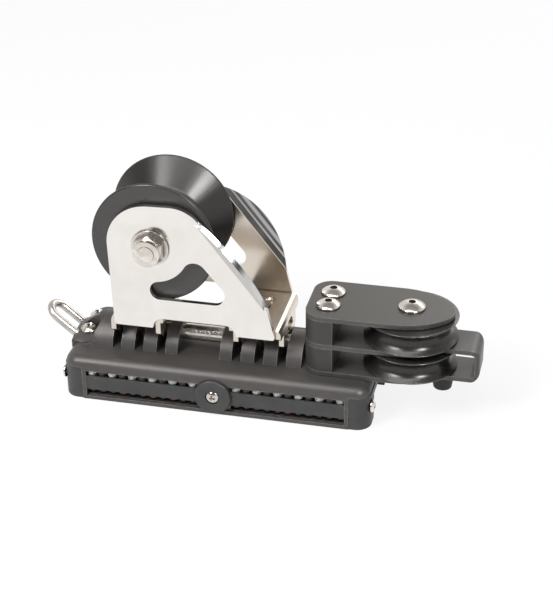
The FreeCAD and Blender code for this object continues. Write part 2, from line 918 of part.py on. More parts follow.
def left_half_outline():
    """One side of the plates' plan from the flank's start round the left corner, as edges."""
    corner = (plate_left + plate_corner, plate_half_width - plate_corner)
    middle = cross(corner, 135, plate_corner)
    edges = [
        Part.LineSegment(V(plate_flank_start, plate_half_width, 0), V(corner[0], plate_half_width, 0)),
        Part.Arc(V(corner[0], plate_half_width, 0), V(*middle, 0), V(plate_left, corner[1], 0)),
    ]
    return [edge.toShape() for edge in edges]


def closed_plan(half, end):
    """Face from one side's edges and their mirror image, closed at the left and at the end."""
    corner = plate_half_width - plate_corner
    left = Part.LineSegment(V(plate_left, corner, 0), V(plate_left, -corner, 0)).toShape()
    other = [mirrored(edge) for edge in reversed(half)]
    return Part.Face(Part.Wire(half + [left] + other + end))


def top_plate_face():
    """Plan of the top plate: square at the left, drawn in by its flanks to a round nose."""
    radius, centre = flank_arc()
    run = math.degrees(math.atan2(-centre[1], nose_centre - plate_flank_start))
    meet = cross(centre, run, radius)
    bulge = cross(centre, (90 + run) / 2, radius)
    start = V(plate_flank_start, plate_half_width, 0)
    half = [Part.Arc(V(*meet, 0), V(*bulge, 0), start).toShape()] + left_half_outline()
    tip = V(nose_centre + nose_radius, 0, 0)
    nose = Part.Arc(V(meet[0], -meet[1], 0), tip, V(*meet, 0)).toShape()
    return closed_plan(half, [nose])


def frame_face():
    """Plan of the lower and middle plates: flanks drawn in to the narrow becket."""
    radius, centre = flank_arc()
    leave = cross(centre, 90 - neck_angle, radius)
    bulge = cross(centre, 90 - neck_angle / 2, radius)
    throat = (leave[1] - becket_half_width) / (1 - math.cos(math.radians(neck_angle)))
    throat_centre = cross(leave, 90 - neck_angle, throat)
    straight = V(throat_centre[0], becket_half_width, 0)
    dip = cross(throat_centre, -90 - neck_angle / 2, throat)
    end = becket_end - becket_corner
    side = becket_half_width - becket_corner
    tip = cross((end, side), 45, becket_corner)
    outline = [
        Part.Arc(V(becket_end, side, 0), V(*tip, 0), V(end, becket_half_width, 0)),
        Part.LineSegment(V(end, becket_half_width, 0), straight),
        Part.Arc(straight, V(*dip, 0), V(*leave, 0)),
        Part.Arc(V(*leave, 0), V(*bulge, 0), V(plate_flank_start, plate_half_width, 0)),
    ]
    half = [edge.toShape() for edge in outline] + left_half_outline()
    right = Part.LineSegment(V(becket_end, -side, 0), V(becket_end, side, 0)).toShape()
    return closed_plan(half, [right])


def block_frame():
    """Lower and middle plates of the control block, one strip folded round the becket."""
    low = plate_levels[0]
    high = plate_levels[1] + plate_thickness
    outer = becket_bend + plate_thickness
    inner_low = low + plate_thickness
    inner_high = plate_levels[1]
    outside = belt(
        [
            (plate_left - overcut, low, 0),
            (becket_end - outer, low + outer, outer),
            (becket_end - outer, high - outer, outer),
            (plate_left - overcut, high, 0),
        ],
        side_view,
    )
    inside_end = becket_end - plate_thickness - becket_bend
    inside = belt(
        [
            (plate_left - 2 * overcut, inner_low, 0),
            (inside_end, inner_low + becket_bend, becket_bend),
            (inside_end, inner_high - becket_bend, becket_bend),
            (plate_left - 2 * overcut, inner_high, 0),
        ],
        side_view,
    )
    strip = outside.cut(inside).extrude(V(0, car_width, 0)).translated(V(0, -half_width, 0))
    plan = frame_face().extrude(V(0, 0, high - low)).translated(V(0, 0, low))
    frame = strip.common(plan)
    for hole in block_holes():
        frame = frame.cut(hole)
    stem = V(keeper_place, 0, low - overcut)
    return frame.cut(rod(keeper_stem_diameter, stem, V(keeper_place, 0, inner_low + overcut)))


def block_holes():
    low = car_height - overcut
    high = block_top + overcut
    holes = [
        rod(
            block_screw_shank,
            V(block_screw_place, side * block_screw_offset, low),
            V(block_screw_place, side * block_screw_offset, high),
        )
        for side in (-1, 1)
    ]
    holes.append(rod(control_axle_shank, V(control_axle_place, 0, low), V(control_axle_place, 0, high)))
    return holes


def block_top_plate():
    plate = top_plate_face().extrude(V(0, 0, plate_thickness)).translated(V(0, 0, plate_levels[2]))
    for hole in block_holes():
        plate = plate.cut(hole)
    return plate


def block_spacer(level):
    """Spacer flush with the plates' left end, bored for the two long screws."""
    base = plate_levels[level] + plate_thickness
    spacer = top_plate_face().extrude(V(0, 0, plate_gap)).translated(V(0, 0, base))
    keep = box(plate_left - overcut, spacer_end, -half_width, half_width, base, base + plate_gap)
    spacer = spacer.common(keep)
    for hole in block_holes():
        spacer = spacer.cut(hole)
    return spacer


def block_screws():
    return [
        pan_head(
            block_screw_head,
            block_screw_head_height,
            block_screw_shank,
            block_top - car_height + block_screw_bite,
            V(block_screw_place, side * block_screw_offset, block_top),
            V(0, 0, 1),
            socket=True,
        )
        for side in (-1, 1)
    ]


def control_axle():
    length = block_top - car_height + control_axle_end
    seat = V(control_axle_place, 0, block_top)
    return pan_head(
        control_axle_head, control_axle_head_height, control_axle_shank, length, seat, V(0, 0, 1), socket=True
    )


def control_axle_nut():
    top = V(control_axle_place, 0, car_height)
    return ring(control_nut_diameter, control_axle_shank, top, top - V(0, 0, control_nut_height))


def control_bush(level):
    base = V(control_axle_place, 0, plate_levels[level] + plate_thickness)
    return ring(control_bush_diameter, control_axle_shank, base, base + V(0, 0, plate_gap))


def control_sheave(level):
    bore = control_bush_diameter + 2 * bush_clearance
    width = plate_gap - 2 * control_sheave_clearance
    profile = sheave_profile(
        control_sheave_diameter,
        width,
        control_sheave_rim,
        control_throat_diameter,
        control_throat_radius,
        bore,
    )
    wheel = profile.revolve(V(0, 0, 0), V(0, 0, 1), 360)
    middle = plate_levels[level] + plate_thickness + plate_gap / 2
    return wheel.translated(V(control_axle_place, 0, middle))


def keeper_foot():
    """Plastic foot under the overhanging plate, its stem pressed into the plate."""
    base = V(keeper_place, 0, car_height - keeper_height)
    foot = Part.makeCone(keeper_foot_diameter / 2, keeper_top_diameter / 2, keeper_height, base)
    top = V(keeper_place, 0, car_height)
    return foot.fuse(rod(keeper_stem_diameter, top, top + V(0, 0, plate_thickness))).removeSplitter()


def tilt_pin():
    return rod(pin_diameter, V(pin_start, 0, pin_height), V(ridge_end, 0, pin_height))


write("slider_body", [slider_body()])
write("left_end_cap", [end_cap(-1)])
write("right_end_cap", [end_cap(1)])
write("end_cap_screws", end_cap_screws())
write("front_race_cover", [race_cover()])
write("rear_race_cover", [mirrored(race_cover())])
write("front_centre_disc", [centre_disc()])
write("rear_centre_disc", [mirrored(centre_disc())])
write("centre_disc_screws", both_sides(centre_disc_screw()))
for side, name in ((-1, "front"), (1, "rear")):
    write(name + "_return_balls", [ball for row in rows for ball in ball_row(side, *row)])
    write(name + "_load_balls", [ball for row in load_rows for ball in ball_row(side, *row)])
write("tilt_pin", [tilt_pin()])
write("bail", [bail()])
write("bail_cover", [bail_cover()])
write("bail_cover_screws", [nose_screw(-1), nose_screw(1)])
write("sheave_housing", [sheave_housing()])
write("axle_bolt", [axle_bolt()])
write("axle_nut", [axle_nut()])
write("axle_washers", both_sides(axle_washer()))
write("sheave_bush", [sheave_bush()])
write("sheave_side_washers", both_sides(sheave_side_washer()))
write("lead_sheave", [lead_sheave()])
write("block_frame", [block_frame()])
write("block_top_plate", [block_top_plate()])
write("lower_spacer", [block_spacer(0)])
write("upper_spacer", [block_spacer(1)])
write("block_screws", block_screws())
write("control_axle", [control_axle()])
write("control_axle_nut", [control_axle_nut()])
write("control_sheave_bushes", [control_bush(0), control_bush(1)])
write("lower_control_sheave", [control_sheave(0)])
write("upper_control_sheave", [control_sheave(1)])
write("keeper_foot", [keeper_foot()])
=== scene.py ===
import math

import bpy
from mathutils import Matrix, Vector

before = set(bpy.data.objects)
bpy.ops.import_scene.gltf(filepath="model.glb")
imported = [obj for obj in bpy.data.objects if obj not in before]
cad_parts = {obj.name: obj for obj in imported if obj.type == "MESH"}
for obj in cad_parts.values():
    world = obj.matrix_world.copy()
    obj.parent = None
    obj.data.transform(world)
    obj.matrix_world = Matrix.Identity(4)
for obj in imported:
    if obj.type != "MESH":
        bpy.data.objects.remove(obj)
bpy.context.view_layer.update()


# Car body
# The long body that runs on four rows of balls, milled from an aluminium extrusion, tumbled
# so that its edges are soft, and hard anodised dark grey. Handling has rubbed its edges paler.

BODY_GREY = (0.074, 0.069, 0.066, 1.0)
BODY_WORN = (0.25, 0.24, 0.23, 1.0)
PAINTED_CREVICE_SHADE = (0.012, 0.011, 0.011, 1.0)
BODY_ROUGHNESS = 0.42
BODY_RUB = 0.0008
BODY_EDGE = 0.00035
ANODISED_METAL = 0.35
ANODISED_SHINE = 0.36
ANODISED_GRAIN = 0.00022
DYE_PATCH = 0.024
DYE_LIFT = 1.16
HOLLOW_SHADE_REACH = 0.0012
WELD_WITHIN = 0.000002
FLAT_WITHIN = math.radians(0.2)
SHARP_FROM = math.radians(35)


def place(tree, kind, settings=None, sockets=None):
    """Put a node in a tree; a socket gets either a value or a link from another socket."""
    node = tree.nodes.new(kind)
    for name, value in (settings or {}).items():
        setattr(node, name, value)
    for name, value in (sockets or {}).items():
        if isinstance(value, bpy.types.NodeSocket):
            tree.links.new(value, node.inputs[name])
        else:
            node.inputs[name].default_value = value
    return node


def work_out(tree, operation, first, second=0.0, third=0.0):
    """The result of one sum on up to three numbers or sockets."""
    values = {0: first, 1: second, 2: third}
    return place(tree, "ShaderNodeMath", {"operation": operation}, values).outputs[0]


def work_out_vector(tree, operation, first, second=None):
    """The outputs of a sum on vectors: Vector, or Value for a length or a dot product."""
    values = {0: first} if second is None else {0: first, 1: second}
    return place(tree, "ShaderNodeVectorMath", {"operation": operation}, values).outputs


def object_place(tree):
    return tree.nodes.new("ShaderNodeTexCoord").outputs["Object"]


def noise(tree, where, scale, detail, distortion=0.0):
    values = {"Vector": where, "Scale": scale, "Detail": detail, "Distortion": distortion}
    return place(tree, "ShaderNodeTexNoise", None, values).outputs["Fac"]


def mix_colours(tree, share, first, second):
    node = place(tree, "ShaderNodeMix", {"data_type": "RGBA"}, {0: share, 6: first, 7: second})
    return node.outputs[2]


def spread(tree, value, low, high, to_low=0.0, to_high=1.0):
    """Stretch the part of a value between low and high to a new range."""
    limits = {"From Min": low, "From Max": high, "To Min": to_low, "To Max": to_high}
    return place(tree, "ShaderNodeMapRange", None, {"Value": value, **limits}).outputs["Result"]


def between(tree, mask, least, most):
    """A number that goes from least to most as a mask goes from 0 to 1."""
    return spread(tree, mask, low=0.0, high=1.0, to_low=least, to_high=most)


def bump(tree, height, distance, strength, under=None):
    """Normals raised by a height, over the normals of another bump where one is given."""
    values = {"Height": height, "Distance": distance, "Strength": strength}
    if under is not None:
        values["Normal"] = under
    return place(tree, "ShaderNodeBump", None, values).outputs["Normal"]


def effect(name, inputs, outputs):
    """An empty node group with named number or vector sockets, and its two ends."""
    group = bpy.data.node_groups.new(name, "ShaderNodeTree")
    for label, kind, value in inputs:
        socket_type = "NodeSocket" + kind
        socket = group.interface.new_socket(label, in_out="INPUT", socket_type=socket_type)
        socket.default_value = value
    for label in outputs:
        group.interface.new_socket(label, in_out="OUTPUT", socket_type="NodeSocketFloat")
    start = group.nodes.new("NodeGroupInput")
    end = group.nodes.new("NodeGroupOutput")
    return group, start.outputs, end.inputs


def use(tree, group, values=None):
    return place(tree, "ShaderNodeGroup", {"node_tree": group}, values).outputs


def make_grain():
    """Blasted and anodised surface: fine pits, and broad patches a little lighter or darker."""
    sizes = [("Grain Size", "Float", 0.0003), ("Patch Size", "Float", 0.02)]
    group, given, result = effect("grain", sizes, ["Height", "Patches"])
    where = object_place(group)
    fine = work_out(group, "DIVIDE", 1.0, given["Grain Size"])
    broad = work_out(group, "DIVIDE", 1.0, given["Patch Size"])
    group.links.new(noise(group, where, fine, detail=3.0), result["Height"])
    patches = noise(group, where, broad, detail=4.0)
    group.links.new(spread(group, patches, low=0.3, high=0.7), result["Patches"])
    return group


def make_worn_or_shaded_edges():
    """Mask of the edges, strong on the sharpest corners: rubbed by hands, lines and tools, and on
    the bail cover the place of painted seam shade.
    """
    sizes = [("Reach", "Float", 0.0006), ("Breakup Size", "Float", 0.004)]
    group, given, result = effect("rubbed edges", sizes, ["Mask"])
    rounded = place(group, "ShaderNodeBevel", {"samples": 6}, {"Radius": given["Reach"]})
    flat = group.nodes.new("ShaderNodeNewGeometry").outputs["Normal"]
    agree = work_out_vector(group, "DOT_PRODUCT", rounded.outputs["Normal"], flat)["Value"]
    edge = spread(group, agree, low=0.995, high=0.9)
    fine = work_out(group, "DIVIDE", 1.0, given["Breakup Size"])
    broken = noise(group, object_place(group), fine, detail=5.0)
    patchy = spread(group, broken, low=0.35, high=0.65, to_low=0.25)
    group.links.new(work_out(group, "MULTIPLY", edge, patchy), result["Mask"])
    return group


def make_hollow_shade():
    """Mask of tight corners and recesses, for painted shade where less light reaches."""
    group, given, result = effect("hollow_shade", [("Reach", "Float", 0.0015)], ["Mask"])
    sky = place(group, "ShaderNodeAmbientOcclusion", {"samples": 8}, {"Distance": given["Reach"]})
    group.links.new(spread(group, sky.outputs["AO"], low=0.80, high=0.35), result["Mask"])
    return group


grain = make_grain()
worn_or_shaded_edges = make_worn_or_shaded_edges()
hollow_shade = make_hollow_shade()


def surface(name, **values):
    """A material and its Principled shader, with the given plain values already set."""
    material = bpy.data.materials.new(name)
    material.use_nodes = True
    shader = material.node_tree.nodes["Principled BSDF"]
    for label, value in values.items():
        shader.inputs[label.replace("_", " ")].default_value = value
    return material, material.node_tree, shader.inputs


def make_anodised(name, colour, edge_wear_or_shade, roughness, edge_reach):
    """Dark anodised aluminium: grain, uneven dye, roughness that drifts, edges in a second colour
    (paler wear on most parts, painted seam shade on the bail cover) and painted shade in recesses.
    """
    plain = {"Metallic": ANODISED_METAL, "Specular_IOR_Level": ANODISED_SHINE}
    material, tree, inputs = surface(name, **plain)
    texture = use(tree, grain, {"Grain Size": ANODISED_GRAIN, "Patch Size": DYE_PATCH})
    mask = use(tree, worn_or_shaded_edges, {"Reach": edge_reach, "Breakup Size": 0.003})["Mask"]
    lighter = tuple(channel * DYE_LIFT for channel in colour[:3]) + (1.0,)
    dyed = mix_colours(tree, texture["Patches"], colour, lighter)
    edge_toned = mix_colours(tree, mask, dyed, edge_wear_or_shade)
    # Painted shade: the colour goes almost black in tight corners and recesses.
    hollow_shade_mask = use(tree, hollow_shade, {"Reach": HOLLOW_SHADE_REACH})["Mask"]
    tree.links.new(mix_colours(tree, hollow_shade_mask, edge_toned, PAINTED_CREVICE_SHADE), inputs["Base Color"])
    drift = between(tree, texture["Patches"], roughness - 0.03, roughness + 0.04)
    tree.links.new(drift, inputs["Roughness"])
    pits = bump(tree, texture["Height"], distance=0.00002, strength=0.5)
    tree.links.new(pits, inputs["Normal"])
    return material


def dress(material, *names):
    for name in names:
        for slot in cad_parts[name].material_slots:
            slot.material = material


def soften(width, *names):
    """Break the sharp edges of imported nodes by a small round, and keep their flat faces flat."""
    for name in names:
        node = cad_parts[name]
        weld = node.modifiers.new("weld", "WELD")
        weld.merge_threshold = WELD_WITHIN
        flat = node.modifiers.new("whole flat faces", "DECIMATE")
        flat.decimate_type = "DISSOLVE"
        flat.angle_limit = FLAT_WITHIN
        bevel = node.modifiers.new("broken edges", "BEVEL")
        bevel.limit_method = "ANGLE"
        bevel.angle_limit = SHARP_FROM
        bevel.width = width
        bevel.segments = 2
        bevel.use_clamp_overlap = True
        bevel.miter_outer = "MITER_ARC"
        bevel.face_strength_mode = "FSTR_ALL"
        level = node.modifiers.new("flat faces stay flat", "WEIGHTED_NORMAL")
        level.mode = "FACE_AREA"
        level.weight = 60
        level.keep_sharp = True
        level.use_face_influence = True


body_finish = make_anodised("anodised body", BODY_GREY, BODY_WORN, BODY_ROUGHNESS, BODY_RUB)
dress(body_finish, "slider_body")
soften(BODY_EDGE, "slider_body")


# End caps
# Black glass-filled nylon mouldings that close the ball circuits, one at each end, stepped
# in under the body's shoulder and held by two screws each.

NYLON_BLACK = (0.033, 0.0325, 0.033, 1.0)
NYLON_DUSTY = (0.085, 0.083, 0.081, 1.0)
NYLON_ROUGHNESS = 0.46
MOULDED_GRAIN = 0.00035
DUST_PATCH = 0.012
DUST_SHARE = 0.35
CAP_EDGE = 0.0005


def make_moulding(name, colour, dusty, roughness):
    """Spark-eroded black plastic with a little grey dust in its broad patches and painted shade in
    its recesses.
    """
    material, tree, inputs = surface(name, IOR=1.5, Specular_IOR_Level=0.4)
    texture = use(tree, grain, {"Grain Size": MOULDED_GRAIN, "Patch Size": DUST_PATCH})
    mask = use(tree, worn_or_shaded_edges, {"Reach": 0.0006, "Breakup Size": 0.005})["Mask"]
    dust = work_out(tree, "MULTIPLY", texture["Patches"], DUST_SHARE)
    edge_toned = mix_colours(tree, mask, mix_colours(tree, dust, colour, dusty), dusty)
    # Painted shade: the colour goes almost black in tight corners and recesses.
    hollow_shade_mask = use(tree, hollow_shade, {"Reach": HOLLOW_SHADE_REACH})["Mask"]
    tree.links.new(mix_colours(tree, hollow_shade_mask, edge_toned, PAINTED_CREVICE_SHADE), inputs["Base Color"])
    drift = between(tree, texture["Patches"], roughness - 0.04, roughness + 0.06)
    tree.links.new(drift, inputs["Roughness"])
    pits = bump(tree, texture["Height"], distance=0.00004, strength=0.6)
    tree.links.new(pits, inputs["Normal"])
    return material


moulding = make_moulding("black moulding", NYLON_BLACK, NYLON_DUSTY, NYLON_ROUGHNESS)
dress(moulding, "left_end_cap", "right_end_cap")
soften(CAP_EDGE, "left_end_cap", "right_end_cap")


# End cap screws
# Four bright stainless pan-head screws that run through the caps into the ends of the body.
# Hands and tools leave cloudy smears and short hairlines on them.

STEEL = (0.60, 0.555, 0.51, 1.0)
STEEL_BRIGHT = (0.80, 0.76, 0.71, 1.0)
STEEL_HOLLOW_SHADE = (0.10, 0.085, 0.075, 1.0)
STEEL_ROUGHNESS = 0.16
STEEL_SHADE_REACH = 0.005
HOLLOW_ROUGHENS = 0.25
HAIRLINE_STRETCH = (0.12, 1.0, 0.9)
SCREW_EDGE = 0.00025


def make_handling():
    """Handling marks on bright metal: cloudy smears and short hairlines, from thin noise bands."""
    sizes = [("Smear Size", "Float", 0.02), ("Line Size", "Float", 0.002)]
    group, given, result = effect("handling marks", sizes, ["Smears", "Lines"])
    where = object_place(group)
    broad = work_out(group, "DIVIDE", 1.0, given["Smear Size"])
    narrow = work_out(group, "DIVIDE", 1.0, given["Line Size"])
    smears = noise(group, where, broad, detail=6.0, distortion=1.4)
    stretch = {"Vector": where, "Scale": HAIRLINE_STRETCH}
    stretched = place(group, "ShaderNodeMapping", None, stretch).outputs["Vector"]
    threads = noise(group, stretched, narrow, detail=2.0, distortion=0.4)
    off_middle = work_out(group, "ABSOLUTE", work_out(group, "SUBTRACT", threads, 0.5))
    group.links.new(spread(group, smears, low=0.35, high=0.7), result["Smears"])
    group.links.new(spread(group, off_middle, low=0.012, high=0.0), result["Lines"])
    return group


handling = make_handling()


def make_steel(name, colour, bright, roughness, shade_reach):
    """Stainless steel: a base tone that drifts, smears that dull it, hairline scratches, and
    painted shade in recesses, which are also rougher.
    """
    material, tree, inputs = surface(name, Metallic=1.0)
    marks = use(tree, handling, {"Smear Size": 0.012, "Line Size": 0.0012})
    # Painted shade: the colour goes dark in tight corners and recesses, and the roughness rises
    # there.
    hollow_shade_mask = use(tree, hollow_shade, {"Reach": shade_reach})["Mask"]
    smeared = mix_colours(tree, marks["Smears"], bright, colour)
    tree.links.new(mix_colours(tree, hollow_shade_mask, smeared, STEEL_HOLLOW_SHADE), inputs["Base Color"])
    polish = between(tree, marks["Smears"], roughness * 0.75, roughness * 1.35)
    duller = work_out(tree, "MULTIPLY_ADD", hollow_shade_mask, HOLLOW_ROUGHENS, polish)
    tree.links.new(duller, inputs["Roughness"])
    hairlines = bump(tree, marks["Lines"], distance=0.000003, strength=0.4)
    tree.links.new(hairlines, inputs["Normal"])
    return material


hardware = make_steel(
    "stainless hardware", STEEL, STEEL_BRIGHT, STEEL_ROUGHNESS, STEEL_SHADE_REACH
)
dress(hardware, "end_cap_screws")
soften(SCREW_EDGE, "end_cap_screws")


# Race covers and centre discs
# Flat black strips that keep the balls in their lanes, one each side, with a turned disc over
# the middle of each and a screw through it.

COVER_EDGE = 0.0002

dress(moulding, "front_race_cover", "rear_race_cover", "front_centre_disc", "rear_centre_disc")
soften(COVER_EDGE, "front_race_cover", "rear_race_cover")
soften(COVER_EDGE, "front_centre_disc", "rear_centre_disc")
dress(hardware, "centre_disc_screws")
soften(SCREW_EDGE, "centre_disc_screws")


# Balls
# Plastic recirculating balls: white bearing balls with dark spacer balls between them. Each
# ball takes its tone from its place in the lane.

BALL_PITCH = 0.0064
FIRST_BALL = 0.0135
UPPER_LANE_FROM = 0.0137
BALL_WHITE = (0.62, 0.61, 0.60, 1.0)
BALL_DARK = (0.045, 0.043, 0.042, 1.0)
BALL_RUST = (0.17, 0.070, 0.040, 1.0)
BROWN_ABOVE = 0.72
END_NUMBER = 20.0


def axes_of(tree, vector):
    return place(tree, "ShaderNodeSeparateXYZ", None, {"Vector": vector}).outputs


def make_balls():
    """Every second ball of the upper lane is white, and a few of the lower lane are brown."""
    material, tree, inputs = surface("lane balls", Roughness=0.24)
    parts = axes_of(tree, object_place(tree))
    along = work_out(tree, "SUBTRACT", work_out(tree, "ABSOLUTE", parts["X"]), FIRST_BALL)
    number = work_out(tree, "ROUND", work_out(tree, "DIVIDE", along, BALL_PITCH))
    even = work_out(tree, "COMPARE", work_out(tree, "MODULO", number, 2.0), 0.0, 0.5)
    upper = work_out(tree, "GREATER_THAN", parts["Z"], UPPER_LANE_FROM)
    end = work_out(tree, "MULTIPLY", work_out(tree, "SIGN", parts["X"]), END_NUMBER)
    each = {"W": work_out(tree, "ADD", number, end)}
    chance = place(tree, "ShaderNodeTexWhiteNoise", {"noise_dimensions": "1D"}, each)
    some = work_out(tree, "GREATER_THAN", chance.outputs["Value"], BROWN_ABOVE)
    lower_tone = mix_colours(tree, some, BALL_DARK, BALL_RUST)
    upper_tone = mix_colours(tree, even, BALL_DARK, BALL_WHITE)
    tree.links.new(mix_colours(tree, upper, lower_tone, upper_tone), inputs["Base Color"])
    texture = use(tree, grain, {"Grain Size": 0.0006, "Patch Size": 0.004})
    pits = bump(tree, texture["Height"], distance=0.00001, strength=0.3)
    tree.links.new(pits, inputs["Normal"])
    return material


balls = make_balls()
dress(balls, "front_return_balls", "rear_return_balls", "front_load_balls", "rear_load_balls")


# Tilt pin
# Stainless rod, ground smooth, that threads the slotted ridge and the six leaves of the
# housing, so that the housing can lean to either side.

PIN_ROUGHNESS = 0.24
PIN_SHADE_REACH = 0.0012

ground = make_steel("ground pin", STEEL, STEEL_BRIGHT, PIN_ROUGHNESS, PIN_SHADE_REACH)
dress(ground, "tilt_pin")


# Bail and its clamp
# Bent stainless rod that a control line is tied to, clamped under an anodised nose piece that
# matches the ridge, is held down by two screws and has painted shade along the edges of its seam.

ROD = (0.46, 0.43, 0.40, 1.0)
ROD_BRIGHT = (0.58, 0.555, 0.53, 1.0)
ROD_ROUGHNESS = 0.34
ROD_SHADE_REACH = 0.0015
PAINTED_SEAM_SHADE = (0.010, 0.009, 0.009, 1.0)
SEAM_SHADE_REACH = 0.0009
NOSE_EDGE = 0.00035

rod = make_steel("drawn rod", ROD, ROD_BRIGHT, ROD_ROUGHNESS, ROD_SHADE_REACH)
dress(rod, "bail")
dress(hardware, "bail_cover_screws")
# Painted shade: the cover's edges take a near-black colour, standing for the shadow in its seam.
nose = make_anodised("anodised cover", BODY_GREY, PAINTED_SEAM_SHADE, BODY_ROUGHNESS, SEAM_SHADE_REACH)
dress(nose, "bail_cover")
soften(NOSE_EDGE, "bail_cover")
soften(SCREW_EDGE, "bail_cover_screws")


# Sheave housing
# Folded from stainless sheet, welded, and buffed to a mirror all over: two cheeks with flared
# guards, the floor between them and six leaves that hinge on the pin. Painted shade and
# reflection darken the insides of the cheeks, and painted reflection darkens the guards.

MIRROR = (0.84, 0.81, 0.775, 1.0)
MIRROR_SMEARED = (0.79, 0.76, 0.72, 1.0)
PAINTED_INSIDE_SHADE = (0.69, 0.625, 0.55, 1.0)
PAINTED_GUARD_REFLECTION = (0.60, 0.605, 0.61, 1.0)
CHEEK_INSIDE = 0.0243
GUARD_START = 0.0274
GUARD_MARGIN = 0.0002
GUARD_ROLL = 1150.0
GUARD_ROLL_DEPTH = 0.00030
INWARD = -0.3
MIRROR_SHADE_REACH = 0.0020
POLISH_BEST = 0.08
POLISH_WORST = 0.14
INSIDE_ROUGHENS = 0.08
SHEET_WAVE = 0.00001
SHEET_WAVES_PER_METRE = 34.0
SHEET_EDGE = 0.0005


def object_normal(tree):
    return tree.nodes.new("ShaderNodeTexCoord").outputs["Normal"]


def make_mirror():
    """Buffed sheet: nearly flat, so it needs the slow waves, smears and hairlines of real sheet,
    with painted shade inside the cheeks and in recesses, and painted reflection on the guards.
    """
    material, tree, inputs = surface("mirror stainless", Metallic=1.0)
    marks = use(tree, handling, {"Smear Size": 0.03, "Line Size": 0.0016})
    where = object_place(tree)
    across = axes_of(tree, where)["Y"]
    off_middle = work_out(tree, "ABSOLUTE", across)
    inside = work_out(tree, "LESS_THAN", off_middle, CHEEK_INSIDE)
    side = work_out(tree, "SIGN", across)
    turned = axes_of(tree, object_normal(tree))["Y"]
    inner = work_out(tree, "LESS_THAN", work_out(tree, "MULTIPLY", side, turned), INWARD)
    reach = work_out(tree, "SUBTRACT", off_middle, GUARD_START)
    on_guard = work_out(tree, "GREATER_THAN", reach, GUARD_MARGIN)

    buffed = mix_colours(tree, marks["Smears"], MIRROR, MIRROR_SMEARED)
    # Painted shade and reflection: inside the cheeks the colour is darker and warmer.
    cheeks = mix_colours(tree, inside, buffed, PAINTED_INSIDE_SHADE)
    # Painted reflection: the flared guards get a darker, bluish grey.
    sheet = mix_colours(tree, on_guard, cheeks, PAINTED_GUARD_REFLECTION)
    # Painted shade: the colour goes dark in tight corners and recesses.
    hollow_shade_mask = use(tree, hollow_shade, {"Reach": MIRROR_SHADE_REACH})["Mask"]
    tree.links.new(mix_colours(tree, hollow_shade_mask, sheet, STEEL_HOLLOW_SHADE), inputs["Base Color"])
    polish = between(tree, marks["Smears"], POLISH_BEST, POLISH_WORST)
    duller = work_out(tree, "MULTIPLY_ADD", inside, INSIDE_ROUGHENS, polish)
    tree.links.new(duller, inputs["Roughness"])

    waves = noise(tree, where, SHEET_WAVES_PER_METRE, detail=1.0)
    slow = bump(tree, waves, distance=SHEET_WAVE, strength=0.8)
    beyond = work_out(tree, "MULTIPLY", work_out(tree, "MAXIMUM", reach, 0.0), inner)
    roll = work_out(tree, "SINE", work_out(tree, "MULTIPLY", beyond, GUARD_ROLL))
    rolled = bump(tree, roll, distance=GUARD_ROLL_DEPTH, strength=1.0, under=slow)
    hairlines = bump(tree, marks["Lines"], distance=0.000002, strength=0.3, under=rolled)
    tree.links.new(hairlines, inputs["Normal"])
    return material


mirror = make_mirror()
dress(mirror, "sheave_housing")
soften(SHEET_EDGE, "sheave_housing")


# Sheave bolt
# Stainless bolt through both cheeks with a washer under its head and under the lock nut. The
# sheave runs on a plastic bush with a thin plastic washer each side.

ACETAL = (0.70, 0.69, 0.66, 1.0)
ACETAL_SHADE = (0.58, 0.565, 0.53, 1.0)
THIN_WASHER_EDGE = 0.00015

dress(hardware, "axle_bolt", "axle_nut", "axle_washers")
soften(SCREW_EDGE, "axle_bolt", "axle_nut", "axle_washers")


def make_acetal():
    """White bearing plastic with faint patches."""
    material, tree, inputs = surface("acetal", Roughness=0.38)
    texture = use(tree, grain, {"Grain Size": 0.0004, "Patch Size": 0.006})
    tone = mix_colours(tree, texture["Patches"], ACETAL, ACETAL_SHADE)
    tree.links.new(tone, inputs["Base Color"])
    pits = bump(tree, texture["Height"], distance=0.00003, strength=0.4)
    tree.links.new(pits, inputs["Normal"])
    return material


acetal = make_acetal()
dress(acetal, "sheave_bush", "sheave_side_washers")
soften(THIN_WASHER_EDGE, "sheave_side_washers")


# Lead sheave
# Aluminium sheave for the sheet, turned with a wide round groove and hard anodised black. The
# lathe's fine rings spread its highlights.

SHEAVE_BLACK = (0.040, 0.038, 0.037, 1.0)
SHEAVE_FACE = (0.072, 0.070, 0.069, 1.0)
SHEAVE_WORN = (0.24, 0.23, 0.22, 1.0)
SHEAVE_LIFT = 1.12
RING_PITCH = 0.00035
LEAD_AXLE = (-0.0371, 0.0, 0.1056)
LEAD_ACROSS = (1.0, 0.0, 1.0)
LEAD_ALONG = (0.0, 1.0, 0.0)
LEAD_ROUGHNESS = 0.29
LEAD_EDGE = 0.0003


